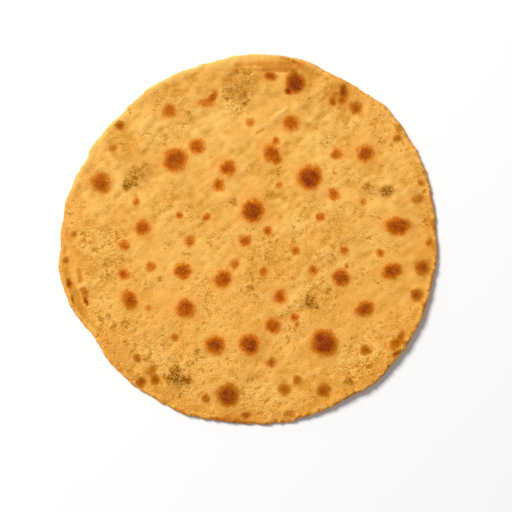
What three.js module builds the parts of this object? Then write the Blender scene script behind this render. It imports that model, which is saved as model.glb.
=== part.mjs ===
// A chapati: one round of unleavened wheat dough, rolled out by hand and baked on a hot griddle.
// It lies as it would on a board. The middle rests flat and stretches of the rim curl up a little,
// the top has soft waves and puffed blisters, the north side has a doubled lip where the dough
// folded over under the rolling pin, and the dough has split along part of the west rim.
// Millimetres, +Z up, +Y to the north. The origin is on the board, under the middle of the round.

import * as THREE from "three";
import { ImprovedNoise } from "three/addons/math/ImprovedNoise.js";

// Driving dimensions
const RADIUS = 100.2; // mean radius of the round
const THICKNESS = 3.1; // of the baked dough in the middle
const RIM_THICKNESS = 2.5; // of the dough at the rim
const RIM_NOSE = 1.1; // how far in from the edge the rim's rounding starts
const RIM_TAPER = 16; // width of the band over which the dough thins towards the rim

// How the rolled edge departs from a circle: waves round the edge, height, where a crest lies
const LOBES = [
  { waves: 1, height: 1.6, crestDeg: -25 },
  { waves: 2, height: 1.2, crestDeg: 15 },
  { waves: 3, height: 1.1, crestDeg: -52 },
  { waves: 5, height: 0.6, crestDeg: 30 },
  { waves: 7, height: 0.3, crestDeg: -23 },
];
// Single bulges and nicks of the edge: where, half width, how far out
const BULGES = [
  { middleDeg: -5, halfDeg: 9, out: 1.0 },
  { middleDeg: 9, halfDeg: 5, out: 0.5 },
  { middleDeg: 32, halfDeg: 4, out: -0.5 },
  { middleDeg: 37, halfDeg: 4, out: 0.7 },
  { middleDeg: 44, halfDeg: 4, out: 1.3 },
  { middleDeg: 62, halfDeg: 8, out: -0.4 },
  { middleDeg: 74, halfDeg: 9, out: 0.6 },
  { middleDeg: 104, halfDeg: 9, out: -0.7 },
  { middleDeg: 121, halfDeg: 5, out: 0.7 },
  { middleDeg: 135, halfDeg: 3, out: -0.7 },
  { middleDeg: 148, halfDeg: 5, out: 0.7 },
  { middleDeg: 154, halfDeg: 3, out: -1.0 },
  { middleDeg: 176, halfDeg: 9, out: -0.7 },
  { middleDeg: 195, halfDeg: 13, out: 2.0 },
  { middleDeg: 213, halfDeg: 6, out: -1.3 },
  { middleDeg: 249, halfDeg: 6, out: 0.9 },
  { middleDeg: 256, halfDeg: 4, out: 0.7 },
  { middleDeg: 264, halfDeg: 5, out: 0.5 },
  { middleDeg: 274, halfDeg: 8, out: 0.8 },
  { middleDeg: 282, halfDeg: 4, out: 1.0 },
  { middleDeg: 302, halfDeg: 8, out: -0.9 },
  { middleDeg: 312, halfDeg: 8, out: 0.8 },
];
// The torn look of the edge: random steps in and out, coarse and fine
const TEAR = { coarse: 0.4, coarseLength: 9, fine: 0.35, fineLength: 4.3 };

// Stretches of the rim that curl up off the board: middle of the stretch, half width, rise
const CURLS = [
  { middleDeg: -38, halfDeg: 46, rise: 2.2 },
  { middleDeg: 98, halfDeg: 50, rise: 1.6 },
  { middleDeg: 205, halfDeg: 34, rise: 1.1 },
];
const CURL_WIDTH = 38; // how far in from the edge a curl starts
const FLUTE = { height: 0.8, length: 27 }; // shorter waves that lift the rim a little more

// Waves of the top: height, and the length of one wave
const SWELL = { height: 0.55, length: 34 };
const RIPPLE = { height: 0.35, length: 11 };

// The doubled lip: a flap whose inner edge runs straight across the north side
const LIP = { edgeY: 90.6, step: 0.6, slope: 2.2, westX: -6, eastX: 26, fade: 14 };
// The split: a groove that follows the west rim
const SPLIT = { inset: 4.4, width: 1.6, depth: 0.8, middleDeg: 198, halfDeg: 11 };

// Puffed blisters: where each one's scorched crown is, and the crown's radius
const BLISTERS = [
  [-39.2, 42.7, 6.2],
  [-27.2, 50.2, 4.0],
  [-11.1, 38.5, 4.3],
  [-78.9, 30.6, 5.1],
  [-56.6, 6.5, 4.3],
  [-35.0, -16.9, 4.6],
  [-13.3, -21.3, 5.1],
  [-63.8, -31.9, 4.4],
  [2.7, 15.3, 6.2],
  [13.0, 45.5, 4.6],
  [23.4, 62.9, 4.6],
  [25.3, 84.3, 5.4],
  [33.1, 33.5, 6.5],
  [63.4, 46.4, 4.8],
  [80.4, 7.3, 6.0],
  [50.1, -20.5, 4.6],
  [77.7, -17.0, 5.1],
  [-33.4, -37.1, 5.1],
  [13.5, -46.4, 4.3],
  [-17.8, -56.7, 4.8],
  [1.0, -56.6, 5.4],
  [-10.7, -83.9, 5.6],
  [41.2, -55.8, 6.7],
  [63.4, -37.5, 4.8],
];
const BLISTER_SPREAD = 1.9; // a dome's radius over its crown's
const BLISTER_RISE = 0.13; // a dome's height over its crown's radius

// Rings of vertices: on each face they grow by six from the middle, and the rim has the most
const TOP_RINGS = 28;
const UNDER_RINGS = 15;
const RIM_POINTS = 264;
const RIM_STEPS = 4; // steps from the top's shoulder round to the underside's

const { smoothstep, degToRad } = THREE.MathUtils;
const perlin = new ImprovedNoise();

// Random swells between about -1 and 1, one every `length`; `layer` picks one of many patterns
function swells(x, y, length, layer) {
  return perlin.noise(x / length, y / length, layer + 0.5);
}

// The sum of a list's contributions
function total(list, contribution) {
  return list.reduce((sum, item) => sum + contribution(item), 0);
}

// 1 at the middle of a stretch of the rim, falling smoothly to 0 at its ends
function stretch(angle, { middleDeg, halfDeg }) {
  const turned = THREE.MathUtils.euclideanModulo(angle - degToRad(middleDeg) + Math.PI, 2 * Math.PI);
  return 1 - smoothstep(Math.abs(turned - Math.PI), degToRad(halfDeg) / 3, degToRad(halfDeg));
}

// One of the outline's waves, in and out all the way round
function cosine(angle, { waves, height, crestDeg }) {
  return height * Math.cos(waves * (angle - degToRad(crestDeg)));
}

// How far the round reaches in each direction
function outline(angle) {
  const [x, y] = [RADIUS * Math.cos(angle), RADIUS * Math.sin(angle)];
  const coarse = TEAR.coarse * swells(x, y, TEAR.coarseLength, 1);
  const fine = TEAR.fine * swells(x, y, TEAR.fineLength, 2);
  const lobes = total(LOBES, (lobe) => cosine(angle, lobe));
  const bulges = total(BULGES, (bulge) => bulge.out * stretch(angle, bulge));
  return RADIUS + lobes + bulges + coarse + fine;
}

// How high the underside stands off the board
function lift(x, y) {
  const angle = Math.atan2(y, x);
  const fromEdge = outline(angle) - Math.hypot(x, y);
  const outwards = Math.max(0, 1 - fromEdge / CURL_WIDTH) ** 2;
  const flute = (FLUTE.height / 2) * (1 + swells(x, y, FLUTE.length, 5));
  return outwards * (flute + total(CURLS, (curl) => curl.rise * stretch(angle, curl)));
}

// How much the blisters add to the thickness
function blisters(x, y) {
  const domes = BLISTERS.map(([bx, by, crown]) => {
    const reach = Math.min(1, Math.hypot(x - bx, y - by) / (crown * BLISTER_SPREAD));
    return crown * BLISTER_RISE * (1 - reach * reach) ** 2;
  });
  return Math.max(...domes);
}

// The doubled lip's flap: a step up to the north of a straight fold
function lip(x, y) {
  const { edgeY, step, slope, westX, eastX, fade } = LIP;
  const along = smoothstep(x, westX - fade, westX) * (1 - smoothstep(x, eastX, eastX + fade));
  return step * along * smoothstep(y, edgeY - slope, edgeY + slope);
}

// The split in the west rim: a groove that keeps its distance from the edge
function split(x, y) {
  const angle = Math.atan2(y, x);
  const fromGroove = outline(angle) - Math.hypot(x, y) - SPLIT.inset;
  return SPLIT.depth * stretch(angle, SPLIT) * Math.exp(-((fromGroove / SPLIT.width) ** 2));
}

// The thickness of the dough at a place away from the rounded rim
function thickness(x, y) {
  const fromEdge = outline(Math.atan2(y, x)) - Math.hypot(x, y);
  const body = RIM_THICKNESS + (THICKNESS - RIM_THICKNESS) * smoothstep(fromEdge, RIM_NOSE, RIM_TAPER);
  const swell = SWELL.height * swells(x, y, SWELL.length, 3);
  const ripple = RIPPLE.height * swells(x, y, RIPPLE.length, 4);
  return body + swell + ripple + blisters(x, y) + lip(x, y) - split(x, y);
}

// A ring of `count` points: `place` gives the point in each direction
function ring(count, place) {
  return Array.from({ length: count }, (_, i) => place((2 * Math.PI * i) / count));
}

// A point at a share of the way from the middle to the rim's shoulder, at a height from `heightAt`
function facePoint(share, heightAt) {
  return (angle) => {
    const reach = share * (outline(angle) - RIM_NOSE);
    const x = reach * Math.cos(angle);
    const y = reach * Math.sin(angle);
    return [x, y, heightAt(x, y)];
  };
}

// A point on the rounded rim: turn is a right angle at the top's shoulder, and minus that below
function rimPoint(turn) {
  return (angle) => {
    const shoulder = outline(angle) - RIM_NOSE;
    const reach = shoulder + RIM_NOSE * Math.cos(turn);
    const [x, y] = [shoulder * Math.cos(angle), shoulder * Math.sin(angle)];
    const half = thickness(x, y) / 2;
    return [reach * Math.cos(angle), reach * Math.sin(angle), lift(x, y) + half * (1 + Math.sin(turn))];
  };
}

// The rings in order: out over the top, round the rim, and in under the bottom
function breadRings() {
  const topHeight = (x, y) => lift(x, y) + thickness(x, y);
  const rings = [ring(1, facePoint(0, topHeight))];
  for (let k = 1; k <= TOP_RINGS; k++) {
    rings.push(ring(6 * k, facePoint(k / (TOP_RINGS + 1), topHeight)));
  }
  for (let k = 0; k <= RIM_STEPS; k++) {
    rings.push(ring(RIM_POINTS, rimPoint(Math.PI * (0.5 - k / RIM_STEPS))));
  }
  rings.push(ring((RIM_POINTS + 6 * UNDER_RINGS) / 2, facePoint(1 - 0.5 / UNDER_RINGS, lift)));
  for (let k = UNDER_RINGS - 1; k >= 1; k--) {
    rings.push(ring(6 * k, facePoint(k / UNDER_RINGS, lift)));
  }
  rings.push(ring(1, facePoint(0, lift)));
  return rings;
}

// Triangles between two rings, whose first vertices have these numbers: each step moves on along
// the ring that is behind
function bandTriangles(first, countA, second, countB) {
  const triangles = [];
  const stepsA = countA > 1 ? countA : 0;
  const stepsB = countB > 1 ? countB : 0;
  let [a, b] = [0, 0];
  while (a < stepsA || b < stepsB) {
    const here = [first + (a % countA), second + (b % countB)];
    const moveB = a >= stepsA || (b < stepsB && (b + 1) / stepsB <= (a + 1) / stepsA);
    if (moveB) {
      b += 1;
      triangles.push(here[0], here[1], second + (b % countB));
    } else {
      a += 1;
      triangles.push(here[0], here[1], first + (a % countA));
    }
  }
  return triangles;
}

// One closed body skinned over the rings, with its middle over the origin and its foot at height 0
function breadGeometry() {
  const rings = breadRings();
  const index = [];
  let first = 0;
  for (let k = 0; k + 1 < rings.length; k++) {
    const second = first + rings[k].length;
    index.push(...bandTriangles(first, rings[k].length, second, rings[k + 1].length));
    first = second;
  }
  const geometry = new THREE.BufferGeometry();
  geometry.setAttribute("position", new THREE.Float32BufferAttribute(rings.flat(2), 3));
  geometry.setIndex(index);
  geometry.computeBoundingBox();
  const { min, max } = geometry.boundingBox;
  geometry.translate(-(min.x + max.x) / 2, -(min.y + max.y) / 2, -min.z);
  geometry.computeVertexNormals();
  return geometry;
}

// Baked wheat dough, golden and dull
function bakedDough() {
  return new THREE.MeshStandardMaterial({ color: 0xe8ab55, roughness: 0.85, metalness: 0 });
}

const chapati = new THREE.Mesh(breadGeometry(), bakedDough());
chapati.name = "chapati";

const bread = new THREE.Group();
bread.add(chapati);

export default bread;
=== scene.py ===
import math

import bpy
import numpy as np
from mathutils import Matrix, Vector, noise


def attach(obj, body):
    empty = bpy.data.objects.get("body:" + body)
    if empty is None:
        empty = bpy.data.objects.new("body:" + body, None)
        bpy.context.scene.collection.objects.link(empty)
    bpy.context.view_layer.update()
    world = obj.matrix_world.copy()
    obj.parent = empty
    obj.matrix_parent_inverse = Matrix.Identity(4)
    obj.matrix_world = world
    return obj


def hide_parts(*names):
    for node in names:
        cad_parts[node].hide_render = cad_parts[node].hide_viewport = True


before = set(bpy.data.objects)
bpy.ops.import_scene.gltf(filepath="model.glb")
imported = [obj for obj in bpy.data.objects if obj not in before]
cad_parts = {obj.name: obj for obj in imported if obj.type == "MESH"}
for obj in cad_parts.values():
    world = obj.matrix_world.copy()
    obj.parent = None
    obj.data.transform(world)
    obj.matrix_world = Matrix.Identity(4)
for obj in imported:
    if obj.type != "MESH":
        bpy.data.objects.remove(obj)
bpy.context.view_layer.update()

bl_info = {
    "name": "Chapati",
    "version": (1, 0, 0),
    "blender": (4, 5, 0),
    "location": "3D View > Sidebar > Chapati",
    "description": "Models and bakes one round chapati, and sets a pale table for it",
    "category": "Add Mesh",
}

# The model's box before anything is added to it
NODE = "chapati"
BREAD = "baked_chapati"
MM = 0.001

# Scorched crowns: east and north of the middle, radius, all in millimetres, and how dark they are,
# from 0, not baked, to 1, charred, and over 1 where the char reaches further out. An oval one also
# has how much longer it is than a round one, and how many degrees its long way is turned from east
# to north.
SCORCHES = (
    (-42.0, 69.1, 3.9, 0.51),
    (-19.1, 76.7, 2.8, 0.62, 1.5, 50.0),
    (-22.3, 73.4, 3.7, 0.35, 1.5, -5.0),
    (-69.1, 61.1, 2.1, 0.64),
    (-72.6, 49.1, 2.0, 0.40),
    (-39.2, 42.7, 6.2, 0.73),
    (-27.2, 50.2, 4.0, 0.62),
    (-11.1, 38.5, 4.3, 0.70),
    (-15.4, 29.4, 3.4, 0.56),
    (-78.9, 30.6, 5.3, 0.65),
    (-60.1, 20.3, 1.9, 0.53),
    (-56.6, 6.5, 4.3, 0.66),
    (-66.7, -3.1, 2.9, 0.52),
    (-31.2, -0.9, 3.2, 0.48),
    (-36.6, 12.9, 2.0, 0.53),
    (-22.0, 12.1, 2.1, 0.48),
    (-66.8, -18.7, 3.2, 0.60),
    (-52.3, -15.0, 2.7, 0.49),
    (-35.0, -16.9, 4.7, 0.68),
    (-13.3, -21.3, 5.1, 0.67),
    (-63.4, -32.2, 4.5, 0.73, 1.18, -65.0),
    (2.7, 15.3, 6.2, 0.83),
    (-1.7, -0.4, 3.3, 0.62),
    (10.8, 4.8, 2.4, 0.60),
    (-7.0, -13.2, 2.5, 0.47),
    (8.8, -17.4, 2.5, 0.48),
    (25.6, -5.8, 2.1, 0.59),
    (17.0, 29.4, 1.9, 0.38),
    (15.2, 53.1, 2.2, 0.58),
    (12.4, 46.6, 4.8, 0.64),
    (15.3, 43.2, 3.0, 0.67),
    (23.4, 62.9, 4.8, 0.55),
    (1.4, 63.2, 2.3, 0.38),
    (25.5, 84.0, 4.8, 1.18),
    (25.0, 88.0, 2.1, 0.78),
    (24.2, 90.4, 1.1, 0.66),
    (22.0, 79.8, 1.7, 1.18),
    (12.2, 87.6, 2.6, 0.70, 1.15, 0.0),
    (17.1, -30.7, 4.0, 0.55),
    (-93.8, 2.9, 1.6, 0.33),
    (51.6, 79.4, 2.9, 0.90, 1.2, 90.0),
    (51.0, 75.2, 2.8, 0.54),
    (45.6, 74.6, 2.3, 0.63),
    (47.2, 78.6, 1.7, 0.34, 1.4, 10.0),
    (49.2, 71.4, 2.2, 0.12),
    (60.0, 67.0, 2.0, 0.10),
    (58.1, 70.9, 3.3, 0.64),
    (47.8, 45.9, 3.4, 0.57),
    (63.4, 46.4, 4.8, 0.67),
    (33.1, 33.5, 6.2, 0.93),
    (46.1, 24.1, 3.5, 0.51),
    (62.1, 20.1, 2.1, 0.36),
    (39.1, 12.3, 2.5, 0.46),
    (80.3, 7.2, 5.8, 0.74, 1.22, 2.0),
    (90.7, 21.4, 2.5, 0.30),
    (92.9, 21.9, 1.9, 0.50),
    (80.4, 54.4, 1.9, 0.52),
    (93.4, 30.4, 1.3, 0.44),
    (51.9, -5.8, 2.6, 0.53),
    (71.3, -7.3, 2.1, 0.60),
    (98.0, -1.3, 1.7, 0.48),
    (35.6, -16.5, 3.1, 0.53),
    (50.1, -20.5, 4.8, 0.75),
    (77.6, -16.9, 4.9, 0.78, 1.15, 12.0),
    (93.6, -15.1, 4.0, 0.78),
    (90.8, -29.9, 3.4, 0.72),
    (-53.7, -36.9, 2.0, 0.26),
    (-33.4, -37.1, 5.1, 0.71),
    (25.5, -42.0, 2.2, 0.60),
    (26.4, -45.6, 1.5, 0.48),
    (13.5, -46.4, 4.4, 0.66),
    (-17.8, -56.7, 5.1, 0.79),
    (1.0, -56.6, 5.4, 0.86),
    (-39.4, -52.7, 2.2, 0.47),
    (-59.3, -64.0, 1.8, 0.52),
    (12.5, -66.1, 2.4, 0.54),
    (-10.7, -83.9, 5.7, 0.93),
    (19.9, -80.5, 3.6, 0.54),
    (26.6, -75.6, 2.2, 0.47),
    (-22.7, -85.4, 2.3, 0.47),
    (-51.8, -70.2, 3.3, 0.40, 1.2, 60.0),
    (-49.6, -75.6, 2.2, 0.82),
    (-57.6, -77.0, 2.4, 0.76),
    (-1.1, -94.9, 2.1, 0.57),
    (22.4, -94.4, 2.8, 0.32, 1.2, 0.0),
    (41.2, -55.8, 6.6, 1.05),
    (63.1, -37.4, 4.5, 0.77, 1.12, 18.0),
    (63.4, -59.4, 2.6, 0.62),
    (82.3, -51.8, 2.3, 0.60, 1.3, 60.0),
    (79.6, -55.7, 3.2, 0.60, 1.2, 50.0),
    (83.8, -55.4, 2.4, 0.40, 1.4, 0.0),
    (79.9, -61.3, 1.5, 1.15, 1.3, 45.0),
    (41.3, -81.0, 3.6, 0.72),
    (53.2, -14.0, 1.1, 0.40),
    (-97.6, -10.6, 1.3, 0.60),
    (-96.0, -23.6, 1.5, 0.80, 1.4, -70.0),
    (-87.6, -28.6, 2.4, 0.37, 1.3, -75.0),
    (-86.9, -33.2, 1.4, 0.95, 1.6, -65.0),
    (-94.0, -32.2, 1.0, 0.54, 2.2, -72.0),
)

# Patches of olive herb flecks: east and north of the middle, radius, and how thick the flecks lie.
# Oval ones are given as above.
HERB_PATCHES = (
    (-63.3, 30.3, 4.0, 1.00),
    (-59.0, 35.0, 5.4, 0.75),
    (-54.9, 39.3, 4.5, 0.65),
    (-5.0, 80.4, 5.6, 0.66),
    (-11.4, 84.0, 4.4, 0.60),
    (-8.6, 89.2, 2.7, 0.80, 1.6, 0.0),
    (2.4, 84.6, 4.0, 0.68),
    (-2.2, 72.7, 2.0, 0.70),
    (74.4, 25.8, 3.9, 0.86, 1.3, 35.0),
    (67.0, 28.4, 4.0, 0.62, 1.5, -5.0),
    (70.6, 27.4, 4.4, 0.46, 1.6, -8.0),
    (55.0, 30.2, 3.0, 0.60),
    (33.1, -33.1, 4.8, 0.80),
    (36.0, -36.4, 2.4, 1.00),
    (-38.8, -70.2, 3.8, 0.80),
    (-39.6, -74.8, 4.6, 0.84),
    (-33.0, -75.8, 4.0, 0.84),
    (-37.0, -79.6, 3.2, 0.70),
    (-71.3, -46.8, 2.8, 0.70),
    (-76.1, 5.4, 3.0, 0.50),
    (13.9, -10.8, 4.2, 0.50),
    (-6.6, -39.3, 3.4, 0.50),
    (-8.4, -71.0, 3.0, 0.50),
    (1.4, -75.3, 3.0, 0.60),
    (-75.9, -40.6, 2.6, 0.50),
    (54.1, -75.9, 2.6, 0.70),
)

# Patches of coarse and smooth crumb: east and north of the middle, radius, and how much coarser
# than the rest they are, below 0 for smoother
COARSE_PATCHES = (
    (-78.0, -8.0, 22.0, 0.32),
    (-79.0, 18.0, 9.0, 0.25),
    (-84.0, -45.0, 12.0, 0.35),
    (-60.0, -55.0, 26.0, 0.42),
    (-50.0, -26.0, 10.0, 0.25),
    (-50.0, 62.0, 18.0, 0.30),
    (-10.0, 78.0, 14.0, 0.42),
    (14.0, -8.0, 16.0, 0.35),
    (11.0, 19.0, 7.0, 0.30),
    (-18.0, -42.0, 24.0, 0.34),
    (30.0, -38.0, 16.0, 0.45),
    (48.0, -12.0, 16.0, 0.42),
    (55.0, 6.0, 10.0, 0.30),
    (56.0, 32.0, 9.0, 0.35),
    (-10.0, -92.0, 22.0, 0.42),
    (55.0, -78.0, 22.0, 0.42),
    (-36.0, -74.0, 16.0, 0.42),
    (56.0, 18.0, 9.0, 0.40),
    (56.0, 64.0, 9.0, 0.30),
    (-4.0, 51.0, 13.0, -0.45),
    (20.0, 5.0, 9.0, -0.10),
    (11.0, -58.0, 8.0, -0.25),
    (88.0, -18.0, 16.0, -0.60),
)

# Patches of paler and darker dough: east and north of the middle, radius, and how much paler they
# are, below 0 for darker
TONE_PATCHES = (
    (45.0, -14.0, 10.0, 0.26),
    (86.0, -16.0, 8.0, 0.12),
    (-30.0, 60.0, 9.0, 0.12),
    (-45.0, 30.0, 8.0, 0.08),
    (30.0, 45.0, 10.0, -0.10),
    (60.0, 16.0, 9.0, -0.09),
    (15.0, 17.0, 9.0, -0.10),
    (-80.0, 16.0, 10.0, -0.08),
    (-88.0, -22.0, 16.0, -0.18),
    (-6.0, 82.0, 10.0, -0.26),
    (-76.0, 1.0, 8.0, 0.14),
    (-82.0, 46.0, 7.0, 0.22),
    (80.5, -54.5, 6.0, 0.50),
    (-66.0, -4.0, 6.0, 0.20),
    (11.0, 3.0, 6.0, -0.16),
    (-93.0, 3.0, 5.0, -0.16),
    (52.0, 75.0, 9.0, -0.34),
    (-50.0, -73.5, 6.0, -0.32),
    # This darker patch is painted shade round the west cracks.
    (-88.0, -30.0, 6.0, -0.30),
    (20.5, -81.0, 5.5, -0.26),
    (63.0, 47.0, 7.0, 0.12),
    (24.0, 88.0, 8.0, -0.14),
    (61.0, 20.0, 5.0, -0.12),
    (15.0, 50.0, 5.0, -0.14),
)

# Toasted patches, most of them on the rim: east and north of the middle, radius, how toasted they
# are, how much longer than a round one, and how many degrees the long way is turned from east to
# north
TOASTED_PATCHES = (
    (-2.6, -98.4, 4.2, 0.75, 2.6, 0.0),
    (-17.4, -97.2, 1.5, 0.90, 1.4, -8.0),
    (10.5, -99.6, 1.5, 1.00, 1.4, 4.0),
    (21.8, -96.2, 3.6, 0.50, 1.5, 12.0),
    (-37.5, -91.9, 2.6, 0.75, 1.6, -22.0),
    (80.9, 59.6, 2.0, 0.60, 1.5, -50.0),
    (9.0, 86.8, 6.0, 0.24, 1.7, 0.0),
    (52.0, 75.0, 8.0, 0.24, 1.3, -45.0),
    (24.0, 85.0, 7.0, 0.12, 1.0, 0.0),
    (20.2, -81.0, 4.6, 0.20, 1.0, 0.0),
    (-51.0, -73.2, 5.5, 0.22, 1.2, 30.0),
    (-87.5, -29.5, 5.0, 0.22, 1.4, -65.0),
)

# Toasted streaks along the doubled lip: start, end, half width and how toasted they are
TOASTED_STREAKS = (
    ((-6.0, 93.8), (6.0, 94.4), 1.8, 0.36),
    ((6.0, 94.3), (17.0, 93.9), 2.2, 0.44),
    ((17.0, 94.6), (29.0, 93.4), 2.8, 0.48),
    ((8.0, 92.0), (27.0, 91.8), 1.2, 0.42),
    ((16.0, 92.0), (26.0, 91.6), 0.9, 0.62),
    ((18.0, 97.6), (22.0, 96.8), 0.8, 0.66),
    ((24.0, 95.8), (27.6, 94.2), 0.8, 1.00),
)

# Open cracks by the west rim: start, end and half width
CRACKS = (
    ((-89.2, -26.8), (-88.0, -30.0), 0.7),
    ((-87.8, -31.6), (-86.8, -34.2), 0.9),
    ((-96.8, -22.2), (-96.0, -24.2), 0.9),
    ((-94.0, -30.6), (-93.2, -33.4), 0.5),
    ((-94.2, -36.0), (-93.6, -38.6), 0.7),
    ((-89.2, -45.4), (-88.4, -47.6), 0.5),
)

# Small folds and dimples: start, end, half width, and height, below 0 for a dimple
FOLDS = (
    ((13.2, 64.6), (20.4, 70.6), 1.1, 0.55),
    ((-57.8, 59.6), (-52.6, 65.2), 1.8, 0.40),
    ((-50.6, 56.0), (-46.0, 60.4), 1.6, -0.35),
    ((4.8, 57.0), (8.4, 59.8), 0.6, -0.40),
    ((-88.0, -1.0), (-84.6, -1.8), 1.1, -0.40),
    ((-98.4, -3.6), (-98.8, -7.0), 0.9, -0.40),
    ((-97.6, -16.2), (-97.4, -19.0), 0.9, -0.45),
    ((-91.0, -17.0), (-90.2, -22.0), 1.2, -0.30),
)

MAX_FOLD = 0.6  # no fold is higher and no dimple deeper, in millimetres

# The crease where the doubled lip ends: how far north it lies, its west and east ends, and its
# half width
CREASE_NORTH = 90.6
CREASE_WEST = -14.0
CREASE_EAST = 29.0
CREASE_WIDTH = 0.7

# The calm east, where lumps and ridges are half as high: its middle, and how far from it they begin
# to rise and are full again
CALM_MIDDLE = (88.0, -16.0)
CALM_REACH = (14.0, 34.0)

# The warm dough round two crowns in the south: its middle, and how far from it the warmth begins to
# fade and has gone
WARM_MIDDLE = (-3.0, -56.0)
WARM_REACH = (8.0, 26.0)

# The bead, a low swelling along the rim: how far in it lies, and its half width
BEAD_INSET = 1.7
BEAD_WIDTH = 1.3

# Sizes, heights and depths of the relief that aren't settings
RIDGE_LENGTH = 13.0 * MM
RIDGE_WIDTH = 5.5 * MM
CRUMB_STRETCH = 1.5  # a grain of crumb is longer than it is wide
BLISTER_SIZE = 1.5 * MM
BLISTER_HEIGHT = 0.14 * MM
BEAD_HEIGHT = 0.35 * MM
LIP_HEIGHT = 0.20 * MM
CREASE_DEPTH = 0.40 * MM
CRACK_DEPTH = 0.80 * MM
UNDERSIDE_SIZE = 8.0 * MM
UNDERSIDE_HEIGHT = 0.35 * MM
SKIN_HEIGHT = 0.34 * MM
EVENLY = 0.5  # a texture with this middle lowers as much as it raises
HOLLOW_SPAN = 0.36  # from the highest to the lowest that colours tell apart, in millimetres

ROLLED = math.radians(38)  # the way the pin went: turned from east to north
MILD = 0.6  # a crown that isn't darker than this is a mild one
RIM_SECTORS = 720  # how finely the outline is told, all round

# The scorched spots of the underside, which fall at random: how many, how far out, and the seed
UNDER_MARKS = 54
UNDER_REACH = 94.0
UNDER_SEED = 12

# How the triangles of the solid are divided: the underside needs less than the top and the rim
TOP_CUTS = 4
UNDER_CUTS = 2
STEEP = 0.75  # an underside face points down by more than this
WELD = 0.002 * MM  # corners closer than this are one
FACET_PASSES = 14  # rounds off the facets of the solid
LEVEL_PASSES = 30  # levels the relief, too
WEIGHT_STEPS = 64  # vertex weights are told apart as finely as this

# The table, the main light and the camera, in metres
TABLE_WIDTH = 8.0
TABLE_GAP = 0.05 * MM
KEY_PLACE = (-1.5, 1.5, 2.3)
KEY_WIDTH = 1.0
CAMERA_EAST = 4.4 * MM
CAMERA_NORTH = -8.8 * MM
SENSOR_WIDTH = 36.0  # in millimetres, as the lens is


def linear(red, green, blue):
    """A colour given as on the screen, from 0 to 255, in the units that shaders use."""
    shares = [value / 255 for value in (red, green, blue)]
    return tuple(v / 12.92 if v <= 0.04045 else ((v + 0.055) / 1.055) ** 2.4 for v in shares)


# The colours that a crown goes through, by its heat, before it chars
CROWN_COLOURS = (
    (0.05, linear(240, 166, 76)),
    (0.20, linear(230, 151, 62)),
    (0.34, linear(218, 132, 42)),
    (0.48, linear(203, 110, 22)),
    (0.64, linear(185, 92, 9)),
    (0.80, linear(163, 77, 6)),
)
BROWN_CROWN = linear(150, 95, 0)  # the tone that crowns by the rim turn to
DRY_BLISTER = linear(200, 112, 80)  # the lifted skin on the darkest crowns

# The colours of lightly toasted dough, by how toasted it is
TOAST_COLOURS = (
    (0.10, linear(233, 160, 66)),
    (0.50, linear(212, 132, 40)),
)

# The stain that herbs leave in the dough, by how thick they lie
STAIN_COLOURS = (
    (0.50, linear(206, 140, 49)),
    (1.00, linear(182, 127, 36)),
)


class DoughSettings(bpy.types.PropertyGroup):
    """The sizes and colours of the baked dough."""

    lump_size: bpy.props.FloatProperty(
        name="Lump size", description="Length of the soft lumps", default=8.0 * MM, unit="LENGTH")
    lump_height: bpy.props.FloatProperty(
        name="Lump height", description="Height of the soft lumps", default=0.70 * MM, unit="LENGTH")
    ridge_height: bpy.props.FloatProperty(
        name="Ridge height", description="Height of the slanting ridges", default=0.60 * MM,
        unit="LENGTH")
    crumb_size: bpy.props.FloatProperty(
        name="Crumb size", description="Length of the crumb's grains", default=2.1 * MM,
        unit="LENGTH")
    crumb_height: bpy.props.FloatProperty(
        name="Crumb height", description="Height of the crumb's grains", default=0.26 * MM,
        unit="LENGTH")
    pit_size: bpy.props.FloatProperty(
        name="Pit size", description="Size of the small pits", default=2.6 * MM, unit="LENGTH")
    pit_depth: bpy.props.FloatProperty(
        name="Pit depth", description="Depth of the pits", default=0.75 * MM, unit="LENGTH")
    nibble_size: bpy.props.FloatProperty(
        name="Rim roughness size", description="Length of the rim's ragged steps",
        default=2.8 * MM, unit="LENGTH")
    nibble_depth: bpy.props.FloatProperty(
        name="Rim roughness", description="Depth of the rim's ragged steps", default=1.4 * MM,
        unit="LENGTH")
    # The raised dough is painted pale and the hollows ochre: painted highlight and painted shade on the
    # relief.
    pale: bpy.props.FloatVectorProperty(
        name="Pale dough", description="Colour of the raised, smooth dough", subtype="COLOR",
        default=linear(251, 196, 104))
    gold: bpy.props.FloatVectorProperty(
        name="Golden dough", description="Colour of most of the dough", subtype="COLOR",
        default=linear(240, 180, 88))
    ochre: bpy.props.FloatVectorProperty(
        name="Ochre dough", description="Colour of the dough's hollows", subtype="COLOR",
        default=linear(206, 140, 43))
    warm: bpy.props.FloatVectorProperty(
        name="Warm dough", description="Colour of the parts baked a little longer", subtype="COLOR",
        default=linear(241, 168, 72))
    # The tint by the rim is partly painted shade on the sides turned from the light.
    tint: bpy.props.FloatVectorProperty(
        name="Orange tint", description="Tint of the dough by the rim", subtype="COLOR",
        default=(1.0, 0.86, 0.67))
    # The fleck colour also darkens the deepest crumb pits as painted shade.
    fleck: bpy.props.FloatVectorProperty(
        name="Fleck", description="Colour of the bran flecks and the pits", subtype="COLOR",
        default=linear(176, 110, 14))
    toasted: bpy.props.FloatVectorProperty(
        name="Toasted dough", description="Colour of the most toasted dough", subtype="COLOR",
        default=linear(184, 100, 14))
    char: bpy.props.FloatVectorProperty(
        name="Char", description="Colour of the darkest crowns", subtype="COLOR",
        default=linear(134, 52, 8))
    herb: bpy.props.FloatVectorProperty(
        name="Herb", description="Colour of the herb flecks", subtype="COLOR",
        default=linear(138, 83, 0))


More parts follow.
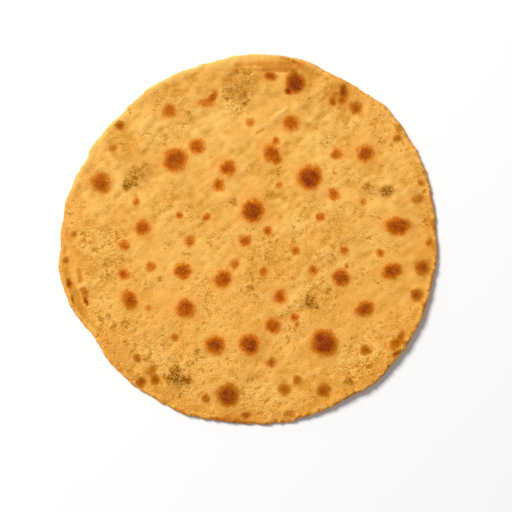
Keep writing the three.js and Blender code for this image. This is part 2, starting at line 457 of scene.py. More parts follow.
class StageSettings(bpy.types.PropertyGroup):
    """The camera, the lights and the table."""

    camera_height: bpy.props.FloatProperty(
        name="Camera height", description="Height of the camera over the table", default=0.654,
        unit="LENGTH")
    lens: bpy.props.FloatProperty(
        name="Lens", description="Focal length", default=85.0, unit="CAMERA")
    key_power: bpy.props.FloatProperty(
        name="Key light", description="Power of the main light", default=97.0, unit="POWER")
    sky: bpy.props.FloatProperty(
        name="Sky", description="Strength of the light from all around", default=0.30)
    table: bpy.props.FloatVectorProperty(
        name="Table", description="Colour of the table", subtype="COLOR",
        default=linear(255, 255, 255))


def deselect_all():
    """Leave nothing selected."""
    if bpy.context.mode != "OBJECT":
        bpy.ops.object.mode_set(mode="OBJECT")
    bpy.ops.object.select_all(action="DESELECT")


def activate(item):
    """Make one object the selected and active one."""
    deselect_all()
    item.select_set(True)
    bpy.context.view_layer.objects.active = item


def select_faces(item, wanted):
    """Enter edit mode with just the faces selected for which wanted is true."""
    activate(item)
    bpy.ops.object.mode_set(mode="EDIT")
    bpy.ops.mesh.select_mode(type="FACE")
    bpy.ops.mesh.select_all(action="DESELECT")
    bpy.ops.object.mode_set(mode="OBJECT")
    for face in item.data.polygons:
        face.select = wanted(face)
    bpy.ops.object.mode_set(mode="EDIT")


def fade(value, low, high):
    """A smooth step from 0 at low to 1 at high."""
    share = np.clip((value - low) / (high - low), 0, 1)
    return share * share * (3 - 2 * share)


def points_of(item):
    """The object's points as rows of east, north and up, in millimetres."""
    flat = np.empty(len(item.data.vertices) * 3)
    item.data.vertices.foreach_get("co", flat)
    return flat.reshape(-1, 3) / MM


def facing_up(item):
    """How far up the surface faces at each point, from -1 to 1."""
    flat = np.empty(len(item.data.vertices) * 3)
    item.data.vertices.foreach_get("normal", flat)
    return flat.reshape(-1, 3)[:, 2]


def ripple(points, size, layer):
    """Random numbers from about -1 to 1 that change over a size; each layer has its own pattern."""
    return np.array([noise.noise(Vector((x / size, y / size, layer))) for x, y, *_ in points])


def inset(points):
    """How far in from the rim each point lies."""
    turn = np.arctan2(points[:, 1], points[:, 0])
    reach = np.hypot(points[:, 0], points[:, 1])
    sector = ((turn + math.pi) / (2 * math.pi) * RIM_SECTORS).astype(int) % RIM_SECTORS
    edge = np.zeros(RIM_SECTORS)
    np.maximum.at(edge, sector, reach)
    edge = np.maximum(edge, np.maximum(np.roll(edge, 1), np.roll(edge, -1)))
    return edge[sector] - reach


def strayed(points, size, reach):
    """The points, each moved sideways at random, so that the marks on them come out uneven."""
    east = points[:, 0] + reach * ripple(points, size, 7.3)
    north = points[:, 1] + reach * ripple(points, size, 17.9)
    return np.column_stack((east, north))


def radii(places, east, north, radius, longer=1.0, turned=0.0):
    """How far each place is from the middle of a round or oval mark, in its radii."""
    turn = math.radians(turned)
    east, north = places[:, 0] - east, places[:, 1] - north
    along = east * math.cos(turn) + north * math.sin(turn)
    across = north * math.cos(turn) - east * math.sin(turn)
    return np.hypot(along / longer, across * longer) / radius


def patch_shares(places, patches, reach=1.5):
    """What each patch gives to each place: all that it has in its middle, and nothing past its reach."""
    return [much * (1 - fade(radii(places, x, y, r, *shape), 0.3, reach))
            for x, y, r, much, *shape in patches]


def crown_heat(distance, radius, heat):
    """How dark one crown is at a distance from its middle, which is given in its radii."""
    # A large crown is dark further out, and a small one fades more slowly
    core = min(max(0.06 * (radius - 2), 0), 0.24)
    reach = 1.52 + 0.22 * max(3.4 - radius, 0)
    crown = (heat + 0.08) * np.minimum(1.08 * (1 - fade(distance, core, reach)), 1)
    # A large crown also has a faint glow round it
    glow = 0.15 * fade(radius, 3.0, 3.8) * (1 - fade(distance, 1.0, 2.0))
    return np.maximum(crown, glow)


def scorching(points, marks):
    """How dark each point is baked by all the marks, whose edges stray a little."""
    places = strayed(strayed(points, 5.0, 1.0), 1.7, 0.6)
    crowns = [crown_heat(radii(places, east, north, radius, *shape), radius, heat)
              for east, north, radius, heat, *shape in marks]
    return np.max(crowns, axis=0)


def under_marks():
    """Scorched spots at random for the underside, small ones more often than large ones."""
    random = np.random.default_rng(UNDER_SEED)
    marks = []
    for turn, reach, size in random.random((UNDER_MARKS, 3)):
        turn = 2 * math.pi * turn
        reach = UNDER_REACH * math.sqrt(reach)
        radius = 1.8 + 4.4 * size ** 2
        heat = 0.42 + 0.09 * radius
        marks.append((reach * math.cos(turn), reach * math.sin(turn), radius, heat))
    return marks


def herb_cover(points):
    """How thick the herb flecks lie at each point."""
    return np.max(patch_shares(strayed(points, 4.0, 2.4), HERB_PATCHES), axis=0)


def halos(points, mild=False):
    """1 on the smooth skin round the dark crowns, or else the mild ones, and 0 away from them."""
    places = strayed(points, 6.0, 1.5)
    reach = 3.0 if mild else 2.2
    skins = [1 - fade(radii(places, east, north, radius, *shape), 0.8, reach)
             for east, north, radius, heat, *shape in SCORCHES if (heat <= MILD) == mild]
    return np.max(skins, axis=0)


def coarseness(points):
    """How coarse the crumb is at each point: more so in patches, in the south and by the rim."""
    patches = patch_shares(strayed(points, 9.0, 6.0), COARSE_PATCHES)
    south = fade(0.2 * points[:, 0] - points[:, 1], 0, 85)
    rim = (1 - fade(inset(points), 2, 12)) * fade(points[:, 0] - points[:, 1], -60, 40)
    coarse = 0.26 + 0.5 * ripple(points, 15.0, 2.4) + np.sum(patches, axis=0)
    coarse = np.clip(coarse + 0.40 * south + 0.3 * rim, 0.04, 1)
    coarse *= (1 - 0.8 * halos(points)) * (1 - 0.35 * halos(points, mild=True))
    coarse *= 1 - 0.9 * lip(points)
    return np.maximum(coarse, 0.8 * herb_cover(points))


def calmness(points):
    """How high the lumps and ridges are at each point: half as high in the calm east."""
    away = np.hypot(points[:, 0] - CALM_MIDDLE[0], points[:, 1] - CALM_MIDDLE[1])
    return 1 - 0.5 * (1 - fade(away, *CALM_REACH))


def groove(points, start, end, half_width):
    """1 on the line of a groove, and 0 beyond its width."""
    start, end = np.array(start), np.array(end)
    along = np.clip((points[:, :2] - start) @ (end - start) / np.sum((end - start) ** 2), 0, 1)
    nearest = start + along[:, None] * (end - start)
    away = np.hypot(*(points[:, :2] - nearest).T)
    return np.exp(-((away / half_width) ** 2))


def open_cracks(points):
    """1 in the cracks by the west rim."""
    places = strayed(strayed(points, 3.0, 1.6), 1.4, 0.9)
    return np.max([groove(places, *crack) for crack in CRACKS], axis=0)


def folds(points):
    """The heights of the small folds and dimples at each point."""
    places = strayed(points, 5.0, 0.8)
    return np.sum([height * groove(places, *ends) for *ends, height in FOLDS], axis=0)


def crease(points):
    """1 on the crease of the doubled lip, less in its western part, and 0 past its ends."""
    away = points[:, 1] - CREASE_NORTH - 0.5 * ripple(points, 9.0, 1.7)
    along = 0.3 + 0.7 * fade(points[:, 0], CREASE_WEST + 17, CREASE_WEST + 26)
    along *= fade(points[:, 0], CREASE_WEST - 4, CREASE_WEST + 6)
    along *= 1 - fade(points[:, 0], CREASE_EAST - 8, CREASE_EAST)
    return along * np.exp(-((away / CREASE_WIDTH) ** 2))


def lip(points):
    """1 on the rounded fold north of the crease."""
    along = fade(points[:, 0], CREASE_WEST - 12, CREASE_WEST + 4)
    along *= 1 - fade(points[:, 0], CREASE_EAST - 4, CREASE_EAST + 12)
    return along * fade(points[:, 1], CREASE_NORTH + 0.2, CREASE_NORTH + 3.2)


def paint_group(item, name, weights):
    """A vertex group with a weight for each point, in steps."""
    group = item.vertex_groups.new(name=name)
    steps = np.round(np.clip(weights, 0, 1) * WEIGHT_STEPS).astype(int)
    for step in range(1, WEIGHT_STEPS + 1):
        members = np.flatnonzero(steps == step)
        if len(members):
            group.add(members.tolist(), step / WEIGHT_STEPS, "REPLACE")


def store(item, name, values):
    """A value for each point that the material can read."""
    attribute = item.data.attributes.new(name, "FLOAT", "POINT")
    attribute.data.foreach_set("value", np.clip(values, 0, 1).astype(np.float32))


def cloud(name, size, depth=1):
    """A texture of soft random clouds, with finer ones on them where the depth is over 1."""
    texture = bpy.data.textures.new(name, "CLOUDS")
    texture.noise_scale = size
    texture.noise_depth = depth
    return texture


def dents(name, size):
    """A texture that is nothing but for scattered spots of odd shapes."""
    texture = cloud(name, size)
    texture.use_color_ramp = True
    level, deep = texture.color_ramp.elements
    level.position = 0.64
    level.color = (0, 0, 0, 1)
    deep.position = 0.86
    deep.color = (1, 1, 1, 1)
    return texture


def push(item, group, height, texture=None, middle=0.0, direction="Z", guide=None):
    """Raise a vertex group by a height, or by that times how far a texture is above its middle."""
    modifier = item.modifiers.new("push", "DISPLACE")
    modifier.vertex_group = group
    modifier.strength = height
    modifier.mid_level = middle
    modifier.direction = direction
    if texture:
        modifier.texture = texture
    if guide:
        modifier.texture_coords = "OBJECT"
        modifier.texture_coords_object = guide
    bpy.ops.object.modifier_apply(modifier=modifier.name)


def merged_copy():
    """A copy of the solid, with its triangles joined up."""
    bread = bpy.data.objects.new(BREAD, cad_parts[NODE].data.copy())
    bpy.context.scene.collection.objects.link(bread)
    bread.data.materials.clear()
    activate(bread)
    bpy.ops.object.mode_set(mode="EDIT")
    bpy.ops.mesh.select_all(action="SELECT")
    bpy.ops.mesh.remove_doubles(threshold=WELD)
    bpy.ops.mesh.normals_make_consistent(inside=False)
    bpy.ops.object.mode_set(mode="OBJECT")
    return bread


def divide(bread):
    """Divide the top and the rim finely, and the underside less."""
    select_faces(bread, lambda face: face.normal.z > -STEEP)
    bpy.ops.mesh.subdivide(number_cuts=TOP_CUTS)
    select_faces(bread, lambda face: face.normal.z <= -STEEP)
    bpy.ops.mesh.subdivide(number_cuts=UNDER_CUTS)
    bpy.ops.mesh.select_all(action="SELECT")
    bpy.ops.mesh.quads_convert_to_tris()
    bpy.ops.object.mode_set(mode="OBJECT")


def smooth_facets(bread, group, passes):
    """Round off the facets of the solid, up and down only, so the outline stays."""
    modifier = bread.modifiers.new("smooth", "SMOOTH")
    modifier.factor = 0.5
    modifier.iterations = passes
    modifier.use_x = False
    modifier.use_y = False
    modifier.vertex_group = group
    bpy.ops.object.modifier_apply(modifier=modifier.name)


def slanting_guide(along, across):
    """An empty whose space is stretched the way the rolling pin went."""
    bpy.ops.object.empty_add(location=(0, 0, 0), rotation=(0, 0, ROLLED))
    guide = bpy.context.active_object
    guide.scale = (along, across, across)
    bpy.context.view_layer.update()
    return guide


def paint_relief(bread):
    """Vertex groups that say where each kind of relief is, and how strong."""
    points = points_of(bread)
    up = facing_up(bread)
    top = fade(up, 0.3, 0.8)
    edge = inset(points)
    rim = 1 - fade(edge, 0.6, 3.4)
    torn = 0.65 + 0.35 * fade(points[:, 0] - points[:, 1], -60, 60)
    bead = np.exp(-(((edge - BEAD_INSET) / BEAD_WIDTH) ** 2))
    bead *= np.clip(0.6 + ripple(points, 18.0, 8.8), 0, 1)
    coarse = coarseness(points)
    scorch = scorching(points, SCORCHES)
    folded = folds(points) / MAX_FOLD
    groups = {
        "sheet": top * (1 - rim),
        "soft": top * calmness(points) * (1 - 0.6 * halos(points)),
        "coarse": top * coarse * (1 - 0.7 * scorch),
        "pitted": top * fade(coarse, 0.35, 0.8) * (1 - fade(scorch, 0.1, 0.4)),
        "crown": top * fade(scorch, 0.35, 0.8),
        "lip": top * lip(points),
        "crease": top * crease(points),
        "raised": top * folded,
        "sunk": -top * folded,
        "cracked": top * open_cracks(points),
        "bead": top * bead,
        "rim": rim * torn,
        "under": fade(-up, 0.5, 0.9) * (1 - rim),
    }
    for name, weights in groups.items():
        paint_group(bread, name, weights)


def relief(bread, dough):
    """Lumps, ridges, crumb, pits, the lip's crease, the cracks and the ragged rim."""
    paint_relief(bread)
    # The guides hold the sizes of ridges and crumb, so that their clouds are 1 in size
    ridges = slanting_guide(RIDGE_LENGTH, RIDGE_WIDTH)
    grains = slanting_guide(CRUMB_STRETCH * dough.crumb_size, dough.crumb_size)
    activate(bread)
    smooth_facets(bread, "sheet", FACET_PASSES)
    push(bread, "soft", dough.lump_height, cloud("lumps", dough.lump_size), EVENLY)
    push(bread, "soft", dough.ridge_height, cloud("ridges", 1.0), EVENLY, guide=ridges)
    push(bread, "coarse", dough.crumb_height, cloud("crumb", 1.0), EVENLY, guide=grains)
    push(bread, "pitted", -dough.pit_depth, dents("pits", dough.pit_size))
    push(bread, "crown", BLISTER_HEIGHT, cloud("blistered skin", BLISTER_SIZE), EVENLY)
    push(bread, "bead", BEAD_HEIGHT)
    push(bread, "lip", LIP_HEIGHT)
    push(bread, "crease", -CREASE_DEPTH)
    push(bread, "cracked", -CRACK_DEPTH)
    push(bread, "raised", MAX_FOLD * MM)
    push(bread, "sunk", -MAX_FOLD * MM)
    push(bread, "rim", dough.nibble_depth, cloud("nibbles", dough.nibble_size, 2), EVENLY, "NORMAL")
    push(bread, "under", UNDERSIDE_HEIGHT, cloud("underside", UNDERSIDE_SIZE, 2))
    for guide in (ridges, grains):
        bpy.data.objects.remove(guide)
    bread.vertex_groups.clear()


def hollows(bread):
    """How far each point lies below the smoothed surface round it: about 0 to 1, and 0.5 is level."""
    before = points_of(bread)
    level = fade(np.abs(facing_up(bread)), 0.4, 0.8)
    levelled = bread.copy()
    levelled.data = bread.data.copy()
    bpy.context.scene.collection.objects.link(levelled)
    activate(levelled)
    smooth_facets(levelled, "", LEVEL_PASSES)
    after = points_of(levelled)
    bpy.data.objects.remove(levelled)
    return 0.5 + level * (after - before)[:, 2] / HOLLOW_SPAN


def shaded_side(points):
    """1 on the south, the west and the east, the sides turned from the light, and 0 on the north-west;
    the rim is painted darker there, partly as shade and partly as a longer bake.
    """
    return 1 - fade(points[:, 1] - 0.6 * points[:, 0], 62, 110)


def rim_toast(points, edge, rag):
    """How toasted the rim is: torn brown bits in the south and the east, and a faint band on the sides
    turned from the light, which is partly painted shade.
    """
    south = fade(0.3 * points[:, 0] - points[:, 1], 40, 95) * (1 - fade(points[:, 0], 35, 70))
    bits = (1 - fade(edge - 2.5 * rag, 0.2, 3.6)) * fade(rag + 0.7 * south, 0.40, 1.00)
    bits *= fade(points[:, 0] - points[:, 1], -35, 30)
    # The band is partly painted shade along the rim turned from the light.
    band = (1 - fade(edge, 0.4, 4.4)) * shaded_side(points) * np.clip(0.9 + 0.8 * rag, 0.2, 1.5)
    return np.maximum(0.7 * bits, 0.24 * band)


def toasting(points, edge):
    """How toasted each point is: patches, the rim, the lip with its crease, and the cracks. The crease
    and the cracks are darkened this way partly as painted shade down in them.
    """
    rag = ripple(points, 7.0, 4.4) + 0.8 * ripple(points, 2.2, 9.4)
    patches = patch_shares(strayed(points, 3.5, 1.8), TOASTED_PATCHES, 1.4)
    patchy = np.max(patches, axis=0) * np.clip(0.9 + 0.5 * rag, 0.3, 1)
    places = strayed(points, 3.0, 0.7)
    streaks = [heat * groove(places, *ends) for *ends, heat in TOASTED_STREAKS]
    # Painted shade in the crease, with some toast
    crease_shade = (0.7 + 0.4 * rag) * crease(points)
    # Painted shade down in the cracks, in toast colour
    cracked = 0.45 * open_cracks(points)
    return np.max([patchy, rim_toast(points, edge, rag), *streaks, crease_shade, cracked], axis=0)


def painted_highlight(points, edge):
    """How much paler than the rest the painted highlight makes the doubled lip and the rim on that side,
    the north-west, which faces the light.
    """
    side = fade(points[:, 1] - points[:, 0], 10, 105) * fade(points[:, 1], 15, 50)
    rim = (1 - fade(edge, 1.0, 5.4)) * side
    along = 0.5 * fade(points[:, 1], CREASE_NORTH, CREASE_NORTH + 8)
    return np.maximum(0.42 * rim, along * lip(points))


def toning(points, edge):
    """How much paler than the rest each part of the dough is, below 0 for darker. The south rim is
    darker, partly as painted shade where it turns from the light.
    """
    patches = patch_shares(strayed(points, 9.0, 5.0), TONE_PATCHES)
    # Painted shade, with some ochre, along the south rim
    south_rim_shade = (1 - fade(edge, 4, 10)) * (1 - fade(points[:, 1], -25, 15))
    skin = halos(points, mild=True) * fade(edge, 8, 16)
    return np.sum(patches, axis=0) - 0.20 * south_rim_shade + 0.10 * skin


def olive_rim(points, edge):
    """How much of the herbs' olive the crumbly east and south-east rim has."""
    side = fade(points[:, 0] - 0.4 * points[:, 1], 20, 80)
    patchy = np.clip(0.55 + ripple(points, 6.0, 12.6), 0, 1)
    return 0.55 * side * patchy * (1 - fade(edge, 1.5, 5.5))


def warming(points):
    """How much warmer than the rest each part of the dough is: most of all the south."""
    south = 0.10 + 0.26 * fade(-points[:, 1], -70, 60)
    return south + 0.4 * ripple(points, 24.0, 5.1) + 0.3 * ripple(points, 9.0, 21.3)


def tinting(points, edge):
    """How strong the orange tint is: by the rim, but for the north-west, partly as painted shade on the
    sides turned from the light, and in the warm south.
    """
    rim = (1 - fade(edge, 6, 22)) * shaded_side(points)
    away = np.hypot(points[:, 0] - WARM_MIDDLE[0], points[:, 1] - WARM_MIDDLE[1])
    south = 1 - fade(away, *WARM_REACH)
    return 0.5 * np.maximum(rim, 0.7 * south)


def browning(points, edge):
    """How much browner than in the middle the crowns are: by the rim, and further in on the south."""
    return 1 - fade(edge + 0.35 * np.minimum(points[:, 1], 0), 4, 24)


def bake(bread):
    """Store what the oven did to each point, and the painted highlight and shade, for the material to
    read.
    """
    points = points_of(bread)
    up = facing_up(bread)
    edge = inset(points)
    top = fade(up, 0.0, 0.4)
    under = fade(-up, 0.0, 0.4) * fade(edge, 1.5, 3.5)
    # The olive in the cracks is painted shade down in them
    herbs = np.max([herb_cover(points), olive_rim(points, edge), 0.20 * open_cracks(points)], axis=0)
    toast = toasting(points, edge)
    # pale: painted highlight on the lit rim and the lip, plus the paler and darker patches and the
    # painted south rim shade
    pale = painted_highlight(points, edge) + toning(points, edge)
    store(bread, "scorch", scorching(points, SCORCHES) * top + scorching(points, under_marks()) * under)
    store(bread, "herb", herbs * top)
    # Painted shade in the hollows, made paler by the painted highlight and the pale patches, and darker
    # by the dark patches and the painted south rim shade, less so where toasted
    store(bread, "painted_light_and_tone", hollows(bread) - pale * (1 - toast))
    store(bread, "coarse", coarseness(points))
    store(bread, "toast", toast)
    store(bread, "warm", warming(points))
    store(bread, "tint", tinting(points, edge))
    store(bread, "brown", browning(points, edge))


def add(tree, kind, **settings):
    """A new shader node, with its sockets' values set by name."""
    item = tree.nodes.new(kind)
    for name, value in settings.items():
        socket = item.inputs.get(name.replace("_", " "))
        if socket is None:
            setattr(item, name, value)
        else:
            socket.default_value = value
    return item


def attribute(tree, name):
    """The value that each point carries under a name."""
    return add(tree, "ShaderNodeAttribute", attribute_name=name).outputs["Fac"]


def grain(tree, place, per_metre, detail=2.0, rough=0.5):
    """Random numbers from 0 to 1 that change so many times a metre."""
    item = add(tree, "ShaderNodeTexNoise", Scale=per_metre, Detail=detail, Roughness=rough)
    tree.links.new(place, item.inputs["Vector"])
    return item.outputs["Fac"]


def math_node(tree, operation, first, second=0.0, third=0.0):
    """A sum, product or the like of sockets or numbers."""
    item = tree.nodes.new("ShaderNodeMath")
    item.operation = operation
    for socket, value in zip(item.inputs, (first, second, third)):
        if isinstance(value, bpy.types.NodeSocket):
            tree.links.new(value, socket)
        else:
            socket.default_value = value
    return item.outputs["Value"]


def centred(tree, value, swing=1.0):
    """Numbers from 0 to 1, made to go as far above 0 as below it, and so far in all."""
    return math_node(tree, "MULTIPLY_ADD", value, swing, -swing / 2)


def step_node(tree, value, low, high, start=0.0, end=1.0):
    """A smooth step from start at low to end at high."""
    item = tree.nodes.new("ShaderNodeMapRange")
    item.interpolation_type = "SMOOTHSTEP"
    tree.links.new(value, item.inputs["Value"])
    item.inputs["From Min"].default_value = low
    item.inputs["From Max"].default_value = high
    item.inputs["To Min"].default_value = start
    item.inputs["To Max"].default_value = end
    return item.outputs["Result"]


def ramp_node(tree, value, stops):
    """A ramp of colours, each at its place from 0 to 1."""
    item = tree.nodes.new("ShaderNodeValToRGB")
    tree.links.new(value, item.inputs["Fac"])
    ramp = item.color_ramp
    while len(ramp.elements) < len(stops):
        ramp.elements.new(0.5)
    for element, (position, colour) in zip(ramp.elements, stops):
        element.position = position
        element.color = (*colour, 1)
    return item.outputs["Color"]


def mix_node(tree, share, first, second, blend="MIX"):
    """Two colours mixed, or the first one tinted by the second, by a share from 0 to 1."""
    item = tree.nodes.new("ShaderNodeMix")
    item.data_type = "RGBA"
    item.blend_type = blend
    tree.links.new(share, item.inputs["Factor"])
    for socket, value in ((item.inputs["A"], first), (item.inputs["B"], second)):
        if isinstance(value, bpy.types.NodeSocket):
            tree.links.new(value, socket)
        else:
            socket.default_value = (*value, 1)
    return item.outputs["Result"]


def along_rolling(tree, place, stretch):
    """The place, turned and squeezed so that a pattern on it is drawn out the way the pin went."""
    item = add(tree, "ShaderNodeMapping")
    item.inputs["Rotation"].default_value = (0, 0, -ROLLED)
    item.inputs["Scale"].default_value = (1 / stretch, 1, 1)
    tree.links.new(place, item.inputs["Vector"])
    return item.outputs["Vector"]


def crumb_height(tree, place):
    """Heights of the crumb: small puffs with sharp creases between them, and finer grains on them."""
    slanting = along_rolling(tree, place, 1.8)
    puffs = math_node(tree, "ABSOLUTE", centred(tree, grain(tree, slanting, 330, 2.0, 0.7)))
    fine = math_node(tree, "MULTIPLY", grain(tree, slanting, 1150, 2.0, 0.65), 0.7)
    return math_node(tree, "MULTIPLY_ADD", puffs, 1.2, fine)


def fleck_cover(tree, place, crumb):
    """1 in the deepest pits of the crumb, which lie in loose clumps, most of them where it is coarse.
    The flecks there are bran and painted shade in the pits.
    """
    coarse = attribute(tree, "coarse")
    clumps = grain(tree, place, 130, 2.0, 0.6)
    depth = math_node(tree, "MULTIPLY_ADD", clumps, 1.6, 0.22)
    depth = math_node(tree, "MULTIPLY_ADD", crumb, -1.2, depth)
    depth = math_node(tree, "MULTIPLY_ADD", coarse, 0.08, depth)
    crumbly = step_node(tree, coarse, 0.02, 0.20)
    return math_node(tree, "MULTIPLY", step_node(tree, depth, 0.76, 0.98), crumbly)


def shade_depth(tree, place, crumb):
    """How deep in tone the dough is: painted shade in its hollows and between the crumb's grains,
    painted highlight on the lit rim and the lip, paler and darker patches, broad and middling random
    shades, and specks.
    """
    coarse = attribute(tree, "coarse")
    below = math_node(tree, "SUBTRACT", 0.45, crumb)
    crumb_share = math_node(tree, "MULTIPLY_ADD", coarse, 1.3, 0.12)
    speck = centred(tree, grain(tree, place, 1900, 0.0))
    speck_share = math_node(tree, "MULTIPLY_ADD", coarse, 1.8, 0.28)
    depth = math_node(tree, "ADD", centred(tree, grain(tree, place, 34), 1.2), attribute(tree, "painted_light_and_tone"))
    depth = math_node(tree, "ADD", depth, centred(tree, grain(tree, place, 210), 0.3))
    depth = math_node(tree, "MULTIPLY_ADD", below, crumb_share, depth)
    return math_node(tree, "MULTIPLY_ADD", speck, speck_share, depth)


def dough_colour(tree, place, crumb, dough):
    """Pale as painted highlight where the dough is raised and smooth, ochre as painted shade in its
    hollows, and brown in its pits, as bran flecks and painted shade.
    """
    stops = ((0.18, dough.pale), (0.50, dough.gold), (0.95, dough.ochre))
    plain = ramp_node(tree, shade_depth(tree, place, crumb), stops)
    tinted = mix_node(tree, attribute(tree, "tint"), plain, dough.tint, "MULTIPLY")
    warm = mix_node(tree, attribute(tree, "warm"), tinted, dough.warm)
    flecked = math_node(tree, "MULTIPLY", fleck_cover(tree, place, crumb), 0.75)
    return mix_node(tree, flecked, warm, dough.fleck)


def scorch_colour(tree, place, base, dough):
    """Orange, red-brown, then char, with a grainy edge and dry blisters on the darkest crowns."""
    scorch = attribute(tree, "scorch")
    patchy = math_node(tree, "MULTIPLY_ADD", grain(tree, place, 330, 3.0, 0.7), 1.1, 0.44)
    speckle = centred(tree, grain(tree, place, 1300, 1.0, 0.6))
    speckle_share = step_node(tree, scorch, 0.0, 0.3, 0.0, 0.7)
    heat = math_node(tree, "MULTIPLY", scorch, patchy)
    heat = math_node(tree, "MULTIPLY_ADD", speckle, speckle_share, heat)

    crust = ramp_node(tree, heat, CROWN_COLOURS + ((1.00, dough.char),))
    browner = step_node(tree, heat, 0.6, 0.9, 0.40, 0.0)
    browner = math_node(tree, "MULTIPLY", attribute(tree, "brown"), browner)
    crust = mix_node(tree, browner, crust, BROWN_CROWN)
    baked = mix_node(tree, step_node(tree, heat, 0.02, 0.24), base, crust)
    blisters = step_node(tree, grain(tree, place, 1500, 1.0), 0.56, 0.70)
    dry = math_node(tree, "MULTIPLY", blisters, step_node(tree, scorch, 0.6, 1.0, 0.0, 0.34))
    return mix_node(tree, dry, baked, DRY_BLISTER)


def herb_colour(tree, place, base, dough):
    """Small dark olive flecks on a faint olive stain."""
    cover = attribute(tree, "herb")
    stain_share = step_node(tree, cover, 0.0, 1.1, 0.0, 0.8)
    stained = mix_node(tree, stain_share, base, ramp_node(tree, cover, STAIN_COLOURS))
    clumps = math_node(tree, "MULTIPLY", grain(tree, place, 230, 2.0, 0.6), 0.7)
    flecks = math_node(tree, "MULTIPLY_ADD", grain(tree, place, 940, 2.0, 0.7), 1.3, clumps)
    flecks = math_node(tree, "MULTIPLY_ADD", cover, 0.26, flecks)
    fleck_share = step_node(tree, cover, 0.0, 0.9, 0.0, 0.95)
    fleck_share = math_node(tree, "MULTIPLY", step_node(tree, flecks, 1.10, 1.34), fleck_share)
    return mix_node(tree, fleck_share, stained, dough.herb)


def skin_height(tree, place, crumb):
    """The fine relief of the skin: thin slanting wrinkles, and crumb where it is coarse."""
    coarse = attribute(tree, "coarse")
    slanting = along_rolling(tree, place, 2.4)
    wrinkles = math_node(tree, "ABSOLUTE", centred(tree, grain(tree, slanting, 125, 2.0, 0.6)))
    grit_share = math_node(tree, "MULTIPLY_ADD", coarse, 1.30, 0.02)
    grit = math_node(tree, "MULTIPLY", grain(tree, place, 1050, 1.0, 0.6), grit_share)
    crumb_share = math_node(tree, "MULTIPLY_ADD", coarse, 0.90, 0.02)
    rough = math_node(tree, "MULTIPLY_ADD", crumb, crumb_share, grit)
    return math_node(tree, "MULTIPLY_ADD", wrinkles, -1.6, rough)


def toast_colour(tree, place, base, dough):
    """Golden to brown where the dough is toasted, a little unevenly."""
    patchy = step_node(tree, grain(tree, place, 420, 2.0, 0.6), 0.3, 0.6, 0.72, 1.0)
    toast = math_node(tree, "MULTIPLY", attribute(tree, "toast"), patchy)
    toasted = ramp_node(tree, toast, TOAST_COLOURS + ((1.00, dough.toasted),))
    return mix_node(tree, step_node(tree, toast, 0.0, 0.4), base, toasted)


def baked_dough(dough):
    """The one material of the bread: golden dough, scorched crowns, herb flecks, toasted rim."""
    material = bpy.data.materials.new("baked_dough")
    material.use_nodes = True
    tree = material.node_tree
    shader = tree.nodes["Principled BSDF"]
    shader.inputs["Specular IOR Level"].default_value = 0.03
    place = add(tree, "ShaderNodeTexCoord").outputs["Object"]

    crumb = crumb_height(tree, place)
    base = dough_colour(tree, place, crumb, dough)
    base = toast_colour(tree, place, base, dough)
    base = herb_colour(tree, place, base, dough)
    base = scorch_colour(tree, place, base, dough)
    tree.links.new(base, shader.inputs["Base Color"])

    rough = step_node(tree, attribute(tree, "coarse"), 0.0, 1.0, 0.58, 0.78)
    tree.links.new(rough, shader.inputs["Roughness"])
    bump = add(tree, "ShaderNodeBump", Strength=1.0, Distance=SKIN_HEIGHT)
    tree.links.new(skin_height(tree, place, crumb), bump.inputs["Height"])
    tree.links.new(bump.outputs["Normal"], shader.inputs["Normal"])
    return material


class CHAPATI_OT_bread(bpy.types.Operator):
    """Model the chapati over its solid and bake it"""

    bl_idname = "chapati.bread"
    bl_label = "Bread"

    def execute(self, context):
        dough = context.scene.chapati_dough
        bread = merged_copy()
        divide(bread)
        relief(bread, dough)
        bake(bread)
        bread.data.materials.append(baked_dough(dough))
        activate(bread)
        bpy.ops.object.shade_smooth()
        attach(bread, "root")
        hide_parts(NODE)
        return {"FINISHED"}


def table(colour):
    """A plain pale table just under the bread, wide enough for every view."""
    bpy.ops.mesh.primitive_plane_add(size=TABLE_WIDTH, location=(0, 0, -TABLE_GAP))
    top = bpy.context.active_object
    top.name = "table"
    material = bpy.data.materials.new("pale_table")
    material.use_nodes = True
    shader = material.node_tree.nodes["Principled BSDF"]
    shader.inputs["Base Color"].default_value = (*colour, 1)
    shader.inputs["Roughness"].default_value = 0.9
    top.data.materials.append(material)


def area_light(name, place, size, power):
    """A soft square light that looks at the bread."""
    bpy.ops.object.light_add(type="AREA", location=place)
    light = bpy.context.active_object
    light.name = name
    light.data.size = size
    light.data.energy = power
    light.rotation_euler = (-Vector(place)).to_track_quat("-Z", "Y").to_euler()


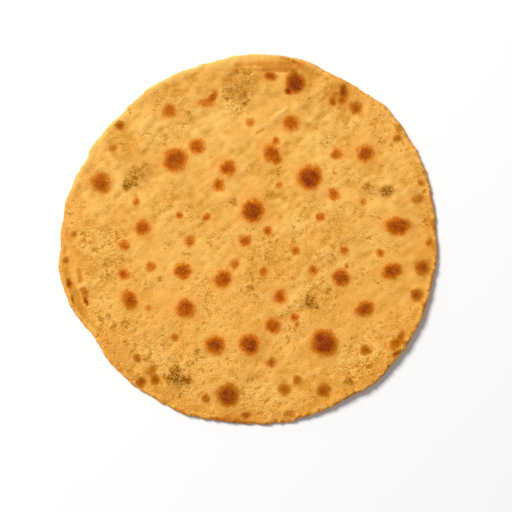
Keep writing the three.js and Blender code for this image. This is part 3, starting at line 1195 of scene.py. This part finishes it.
def sky_light(strength):
    """Even light from all around."""
    world = bpy.data.worlds.new("sky")
    world.use_nodes = True
    background = world.node_tree.nodes["Background"]
    background.inputs["Color"].default_value = (1, 1, 1, 1)
    background.inputs["Strength"].default_value = strength
    bpy.context.scene.world = world


class CHAPATI_OT_stage(bpy.types.Operator):
    """Set the table, the lights and the camera"""

    bl_idname = "chapati.stage"
    bl_label = "Stage"

    def execute(self, context):
        stage = context.scene.chapati_stage
        deselect_all()
        table(stage.table)
        area_light("key", KEY_PLACE, KEY_WIDTH, stage.key_power)
        sky_light(stage.sky)
        over = (CAMERA_EAST, CAMERA_NORTH, stage.camera_height)
        bpy.ops.object.camera_add(location=over, rotation=(0, 0, 0))
        camera = context.active_object
        camera.data.lens = stage.lens
        camera.data.sensor_width = SENSOR_WIDTH
        context.scene.camera = camera
        context.scene.view_settings.view_transform = "Standard"
        return {"FINISHED"}


class CHAPATI_PT_panel(bpy.types.Panel):
    """The chapati's steps and settings"""

    bl_label = "Chapati"
    bl_space_type = "VIEW_3D"
    bl_region_type = "UI"
    bl_category = "Chapati"

    def draw(self, context):
        layout = self.layout
        layout.operator(CHAPATI_OT_bread.bl_idname)
        layout.operator(CHAPATI_OT_stage.bl_idname)
        for group in (context.scene.chapati_dough, context.scene.chapati_stage):
            box = layout.box()
            for name in group.bl_rna.properties.keys():
                if name not in ("rna_type", "name"):
                    box.prop(group, name)


CLASSES = (DoughSettings, StageSettings, CHAPATI_OT_bread, CHAPATI_OT_stage, CHAPATI_PT_panel)


def register():
    """Add the steps, the panel and the settings."""
    for item in CLASSES:
        bpy.utils.register_class(item)
    bpy.types.Scene.chapati_dough = bpy.props.PointerProperty(type=DoughSettings)
    bpy.types.Scene.chapati_stage = bpy.props.PointerProperty(type=StageSettings)


def unregister():
    """Take away what register added."""
    del bpy.types.Scene.chapati_stage
    del bpy.types.Scene.chapati_dough
    for item in reversed(CLASSES):
        bpy.utils.unregister_class(item)


def main():
    """Bake the bread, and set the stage."""
    register()
    bpy.ops.chapati.bread()
    bpy.ops.chapati.stage()


if __name__ == "__main__":
    main()
